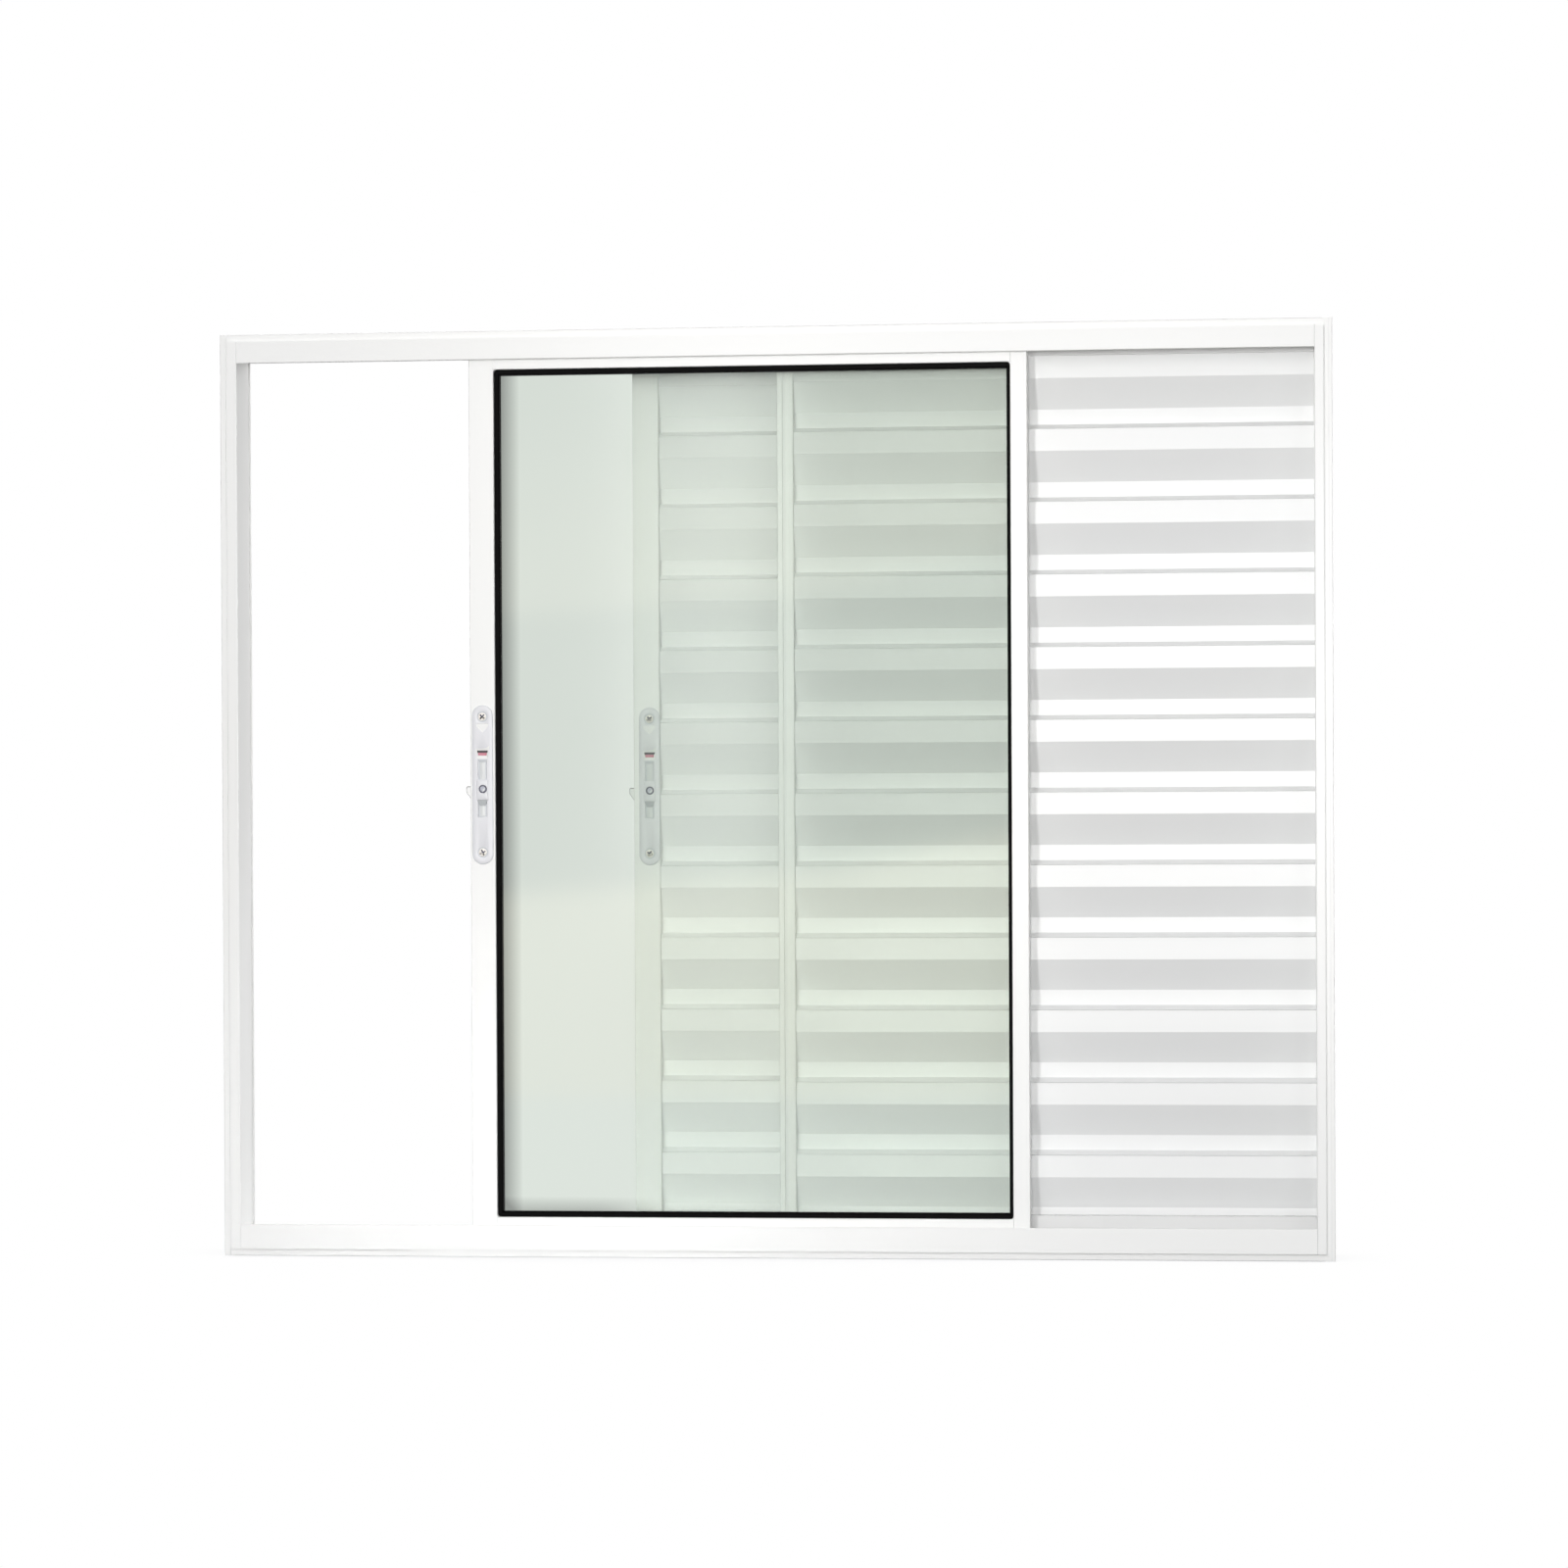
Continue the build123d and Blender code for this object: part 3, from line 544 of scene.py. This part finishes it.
def setPlate(name, origin):
    shape = Shape(origin, "lock", "markAndHighlight", "windowShade", "lockInShade")
    steps = plate["shadedSteps"]
    rim = [shape.loop(stadium(plate["width"], plate["tall"], inset), w) for inset, w in plate["rim"]]
    shape.walls(*rim[steps - 1:])
    # painted shade on the outer steps of the rim
    shape.use("lockInShade")
    shape.walls(*rim[:steps])
    holes = []
    for height in (plate["screwUp"], plate["screwDown"]):
        seat = [shape.loop(circle(radius, 0, height), w) for radius, w in plate["seat"]]
        shape.walls(*seat)
        shape.cover(seat[-1])
        holes.append(seat[0])
    shape.use("lock")
    top = plate["rim"][-1][1]
    recess = [shape.loop(plate["recess"], top), shape.loop(plate["recessFloor"], plate["recessTop"])]
    shape.walls(*recess)
    inner = spread(plate["arrow"], plate["arrowShare"], plate["arrowCentre"])
    arrow = [shape.loop(plate["arrow"], top), shape.loop(inner, top - plate["arrowDepth"])]
    scoop = [shape.loop(plate["scoop"], top), shape.loop(plate["window"], plate["windowTop"])]
    shape.cover(rim[-1], *holes, recess[0], arrow[0], scoop[0])
    # the arrow is a pale mark; the scoop above the window is pale as a painted highlight
    shape.use("markAndHighlight")
    shape.walls(*arrow)
    shape.cover(arrow[-1])
    shape.walls(*scoop)
    # the window and the recess go right through
    windowBack = shape.loop(plate["window"], 0)
    recessBack = shape.loop(plate["recessFloor"], 0)
    # painted shade on the walls of the window
    shape.use("windowShade")
    shape.walls(scoop[-1], windowBack)
    shape.use("lock")
    shape.walls(recess[-1], recessBack)
    shape.cover(rim[0], windowBack, recessBack)
    # the sloping head of the recess lies in its own shade
    shape.use("lockInShade")
    foot, head = plate["shadedHead"]
    low, high = plate["shadedDepth"]
    for face in shape.mesh.faces:
        middle = (face.calc_center_median() - shape.origin) / millimetre
        if foot < middle.z < head and low < -middle.y < high and abs(middle.x) < plate["shadedHalf"]:
            face.material_index = shape.paint
    shape.finish(name + "Plate", "white_plastic", name + "_lock_plate")


# slider with its ribs, cap and knob; cap steps are insets with depths, ring and post radii with depths
slider = {
    "tongue": (-4.5, 4.5, -34.5, 24.8), "tongueFoot": 0.05, "tongueTop": 0.6,
    "rib": (-2.7, 2.9, -34.0, 24.2), "ribTop": (-1.9, 2.1, -33.6, 23.6), "ribHeight": 1.0,
    "neck": (-4.9, 4.9, -16.0, 5.2),
    "cap": (-6.45, 6.45, -16.4, 5.6), "capSteps": ((0.0, 1.82), (0.0, 2.1), (0.35, 2.5), (0.95, 2.8)),
    "capCut": 0.5, "knob": (0.5, -4.6),
    "ring": ((4.9, 2.8), (4.5, 2.55), (4.2, 1.9), (3.1, 1.9)),
    "post": ((3.0, 3.0), (2.7, 3.4), (2.1, 3.6), (1.3, 3.35), (0.6, 3.15)),
    "crescent": [(-0.4, -6.9), (0.8, -7.2), (2.1, -6.6), (2.9, -5.2), (2.8, -3.8), (2.0, -2.9), (1.6, -4.4),
                 (0.9, -5.6)],
    "crescentFoot": 3.2, "crescentTop": 3.65,
    "ramp": [(-6.0, -16.5), (6.0, -16.5), (3.1, -22.6), (-3.1, -22.6)],
    "rampCentre": (0, -17), "rampShare": 0.97, "rampTop": 1.86,
}


def setSlider(name, origin):
    shape = Shape(origin, "lock", "knobRing", "knobFace", "lockShade", "lockInShade", "lockHighlight")
    low = shape.loop(rectangle(*slider["tongue"]), slider["tongueFoot"])
    high = shape.loop(rectangle(*slider["tongue"]), slider["tongueTop"])
    rib = shape.loop(rectangle(*slider["rib"]), slider["tongueTop"])
    ridge = shape.loop(rectangle(*slider["ribTop"]), slider["ribHeight"])
    # painted shade on the floor of the recess
    shape.use("lockInShade")
    shape.cover(low)
    shape.walls(low, high)
    shape.cover(high, rib)
    # painted highlight along the rib
    shape.use("lockHighlight")
    shape.walls(rib, ridge)
    shape.cover(ridge)
    # neck and cap
    shape.use("lock")
    left, right, foot, head = slider["cap"]
    neck = shape.loop(rectangle(*slider["neck"]), slider["tongueTop"])
    collar = shape.loop(rectangle(*slider["neck"]), slider["capSteps"][0][1])
    cap = [shape.loop(clipped(left + inset, right - inset, foot + inset, head - inset, slider["capCut"]), w)
           for inset, w in slider["capSteps"]]
    shape.walls(neck, collar)
    shape.cover(neck)
    shape.cover(cap[0], collar)
    shape.walls(*cap)
    # knob in its ring, with a painted highlight shaped as a crescent on it
    ring = [shape.loop(circle(radius, *slider["knob"]), w) for radius, w in slider["ring"]]
    post = [shape.loop(circle(radius, *slider["knob"]), w) for radius, w in slider["post"]]
    shape.cover(cap[-1], ring[0])
    shape.walls(*ring[:2])
    # painted shade in the groove round the knob
    shape.use("knobRing")
    shape.walls(*ring[1:], post[0])
    shape.use("knobFace")
    shape.walls(*post)
    shape.cover(post[-1])
    shape.use("lockHighlight")
    shape.block(slider["crescent"], slider["crescentFoot"], slider["crescentTop"])
    # shaded ramp under the cap
    shape.use("lockShade")
    face = spread(slider["ramp"], slider["rampShare"], slider["rampCentre"])
    shape.block(slider["ramp"], slider["tongueTop"], slider["rampTop"], face)
    shape.finish(name + "Slider", "white_plastic", name + "_lock_slider")


# red flag in the window, its upper half painted dark as shade: finish, half width, foot, head and front of
# each half
flag = {
    "back": 0.05,
    "halves": (("flagRed", 4.7, 31.6, 34.5, 0.6), ("flagInShade", 5.7, 34.5, 37.1, 0.45)),
}


def setFlag(name, origin):
    shape = Shape(origin, "flagRed", "flagInShade")
    for finish, half, foot, head, front in flag["halves"]:
        shape.use(finish)
        shape.block(rectangle(-half, half, foot, head), flag["back"], front)
    shape.finish(name + "Flag", "red_indicator", name + "_lock_indicator")


# cross-head screws: radii with depths, the cross and its floor, and how far each one is turned
screw = {
    "head": ((4.3, 1.2), (4.3, 1.80), (4.1, 2.0), (3.7, 2.12), (3.3, 2.16)),
    "reach": 3.2, "floorReach": 2.88, "width": 1.6, "floorWidth": 1.28, "floor": 1.75,
    "turns": {"glass": (0.82, 0.42), "louvre": (0.70, 1.05)},
}


def setScrew(name, origin, height, turn):
    shape = Shape(origin, "screwHead", "screwCross")
    head = [shape.loop(circle(radius, 0, height), w) for radius, w in screw["head"]]
    mouth = shape.loop(cross(screw["reach"], screw["width"], turn, height), screw["head"][-1][1])
    floor = shape.loop(cross(screw["floorReach"], screw["floorWidth"], turn, height), screw["floor"])
    shape.cover(head[0])
    shape.walls(*head)
    shape.cover(head[-1], mouth)
    # painted shade in the cross
    shape.use("screwCross")
    shape.walls(mouth, floor)
    shape.cover(floor)
    shape.finish(name, "steel_fittings")


# beak of the hook: a white face inside a thin line of painted shade along its edge
hook = {
    "back": -13.5, "middle": -10.8, "front": -10.5,
    "outline": [(0, -1.5), (-5.1, -1.5), (-6.0, -1.85), (-6.45, -2.6), (-6.6, -3.4), (-6.6, -7.2),
                (-6.3, -8.3), (-5.6, -9.4), (0, -16.7)],
    "face": [(0, -2.4), (-4.9, -2.4), (-5.6, -2.7), (-6.0, -3.3), (-6.15, -4.0), (-6.15, -7.1), (-5.9, -8.0),
             (-5.2, -9.1), (0, -16.0)],
}


def setHook(name, origin, edge):
    shape = Shape(origin, "hookFace", "hookRimShade")
    outline = [(edge + u, v) for u, v in hook["outline"]]
    back = shape.loop(outline, hook["back"])
    middle = shape.loop(outline, hook["middle"])
    front = shape.loop([(edge + u, v) for u, v in hook["face"]], hook["front"])
    shape.walls(back, middle)
    shape.cover(back)
    shape.cover(front)
    shape.use("hookRimShade")
    shape.walls(middle, front)
    shape.finish(name + "Hook", "steel_fittings", name + "_lock_hook")


def setLocks():
    for name, (up, down) in screw["turns"].items():
        low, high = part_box(name + "_lock_plate")
        origin = ((low.x + high.x) / 2, high.y, (low.z + high.z) / 2)
        setPlate(name, origin)
        setSlider(name, origin)
        setFlag(name, origin)
        setHook(name, origin, (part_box(name + "_lock_hook")[1].x - origin[0]) / millimetre)
        setScrew(name + "ScrewUpper", origin, plate["screwUp"], up)
        setScrew(name + "ScrewLower", origin, plate["screwDown"], down)


setLocks()
print("locks made")


# round corners of the glass leaf's opening, in front of the gasket
corner = {
    "left": -299.7, "right": 258.6, "foot": 43.2, "head": 958.3,
    "radius": 3.2, "steps": 6, "front": 5.8, "back": 0.0,
}


def setCorners():
    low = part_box("glass_gasket")[0]
    radius, steps = corner["radius"], corner["steps"]
    turns = [math.pi / 2 * n / steps for n in range(steps + 1)]
    for u, across in ((corner["left"], 1), (corner["right"], -1)):
        for v, upward in ((corner["foot"], 1), (corner["head"], -1)):
            arc = [(u + across * radius * (1 - math.sin(turn)), v + upward * radius * (1 - math.cos(turn)))
                   for turn in turns]
            shape = Shape((0, low.y, 0), "leafUpright")
            shape.block([(u, v)] + arc, corner["back"], corner["front"])
            shape.finish("openingCorner", "white_leaf")


setCorners()
print("corners made")


# pale floor, white studio and soft lights
studio = {
    "floorRadius": 30.0, "floorSides": 96, "floorBounce": (0.16, 0.16, 0.16), "floorGleam": 1.2,
    "contact": (0.90, 0.905, 0.91), "contactReach": 0.16, "contactEdge": (0.0, 0.9),
    "above": (0.50, 0.50, 0.50), "below": (0.20, 0.20, 0.205), "horizon": (-0.2, 0.5),
    "lights": {
        "key": {"place": (-0.62, -4.5, 1.50), "aim": (0, 0, 0.5), "size": (0.28, 2.4), "power": 61},
        "front": {"place": (0.36, -5.3, 0.72), "aim": (0, 0, 0.5), "size": (0.6, 0.8), "power": 85},
        "pool": {"place": (-0.85, -2.6, 0.05), "aim": (-0.22, 0, -0.07), "size": (0.4, 0.3), "power": 0.45,
                 "spread": 0.40, "mirrored": False},
        "side": {"place": (2.6, -3.4, 0.9), "aim": (0.3, 0, 0.5), "size": (1.2, 1.2), "power": 9,
                 "mirrored": False},
        "back": {"place": (2.7, 2.6, 1.1), "aim": (-0.5, 0, 0.5), "size": (2.0, 2.0), "power": 94},
        "outside": {"place": (-1.6, 3.6, 2.6), "aim": (0, 0, 0.5), "size": (2.0, 2.0), "power": 40},
    },
}


def stagePiece(name, shape, material):
    mesh = bpy.data.meshes.new(name)
    shape.to_mesh(mesh)
    shape.free()
    mesh.materials.append(material)
    piece = bpy.data.objects.new(name, mesh)
    scene.collection.objects.link(piece)
    return piece


# white to the camera with a soft contact shade, a mid grey to bounced light, bright to mirror rays
def setFloor():
    material, wire = newMaterial("paleFloor")
    pale = wire.openness(studio["contactReach"]).ramp(*studio["contactEdge"]).blend(
        wire.even("ShaderNodeEmission", studio["contact"]), wire.even("ShaderNodeEmission", (1, 1, 1)))
    gleam = wire.node("ShaderNodeEmission", None, {"Strength": studio["floorGleam"]})
    bounce = wire.even("ShaderNodeBsdfDiffuse", studio["floorBounce"])
    unseen = wire.rays("Is Glossy Ray").blend(bounce, gleam)
    closeMaterial(wire, wire.rays("Is Camera Ray").blend(unseen, pale))
    shape = bmesh.new()
    bmesh.ops.create_circle(shape, cap_ends=True, segments=studio["floorSides"], radius=studio["floorRadius"])
    floor = stagePiece("floor", shape, material)


# a board in front of the window, seen only by mirror rays: bright above and below a darker band,
# which gives the pane the soft bands of light that the photograph shows
board = {
    "depth": -3.0, "left": -1.6, "right": 0.9, "foot": -0.6, "head": 2.2,
    "dark": (0.30, 0.30, 0.30), "warm": (1.80, 1.58, 1.25),
    "bandFoot": 0.378, "bandHead": 0.848, "inward": 0.02, "outward": 0.03,
    "pivot": -0.40, "slope": 0.062, "bendStart": -0.30, "bendEnd": 0.15, "bend": 0.055,
    "upperGlow": (1.30, 0.86, 0.0, 0.48), "lowerGlow": (-0.10, 0.36, 0.76, 1.0),
}


def setBoard():
    material, wire = newMaterial("board")
    place = wire.coordinates()
    across = place.axis("X")
    bend = across.ramp(board["bendStart"], board["bendEnd"]) * board["bend"]
    level = place.axis("Z") - (across - board["pivot"]) * board["slope"] - bend
    foot, head, inward, outward = board["bandFoot"], board["bandHead"], board["inward"], board["outward"]
    upper = level.ramp(head - inward, head + outward) * level.ramp(*board["upperGlow"])
    lower = level.ramp(foot + inward, foot - outward) * level.ramp(*board["lowerGlow"])
    closeMaterial(wire, (upper + lower).blend(wire.even("ShaderNodeEmission", board["dark"]),
                                              wire.even("ShaderNodeEmission", board["warm"])))
    shape = bmesh.new()
    corners = rectangle(board["left"], board["right"], board["foot"], board["head"])
    shape.faces.new([shape.verts.new((x, board["depth"], z)) for x, z in corners])
    panel = stagePiece("board", shape, material)
    panel.visible_camera = panel.visible_diffuse = panel.visible_shadow = panel.visible_transmission = False


# white to the camera, a soft grey to everything else
def setWorld():
    world = bpy.data.worlds.new("studio")
    scene.world = world
    world.use_nodes = True
    world.node_tree.nodes.clear()
    wire = Wire(world.node_tree)
    rise = wire.coordinates("Generated").axis("Z")
    soft = rise.ramp(*studio["horizon"]).blend(wire.even("ShaderNodeBackground", studio["below"]),
                                               wire.even("ShaderNodeBackground", studio["above"]))
    white = wire.even("ShaderNodeBackground", (1, 1, 1))
    wire.node("ShaderNodeOutputWorld", None, {"Surface": wire.rays("Is Camera Ray").blend(soft, white)})


def setLights():
    for name, lamp in studio["lights"].items():
        data = bpy.data.lights.new(name, "AREA")
        data.shape = "RECTANGLE"
        data.size, data.size_y = lamp["size"]
        data.energy = lamp["power"]
        data.spread = lamp.get("spread", math.pi)
        light = bpy.data.objects.new(name, data)
        light.location = lamp["place"]
        aim = Vector(lamp["aim"]) - light.location
        light.rotation_mode = "QUATERNION"
        light.rotation_quaternion = aim.to_track_quat("-Z", "Y")
        light.visible_camera = False
        light.visible_glossy = lamp.get("mirrored", True)
        scene.collection.objects.link(light)


setFloor()
setBoard()
setWorld()
setLights()
print("stage set")
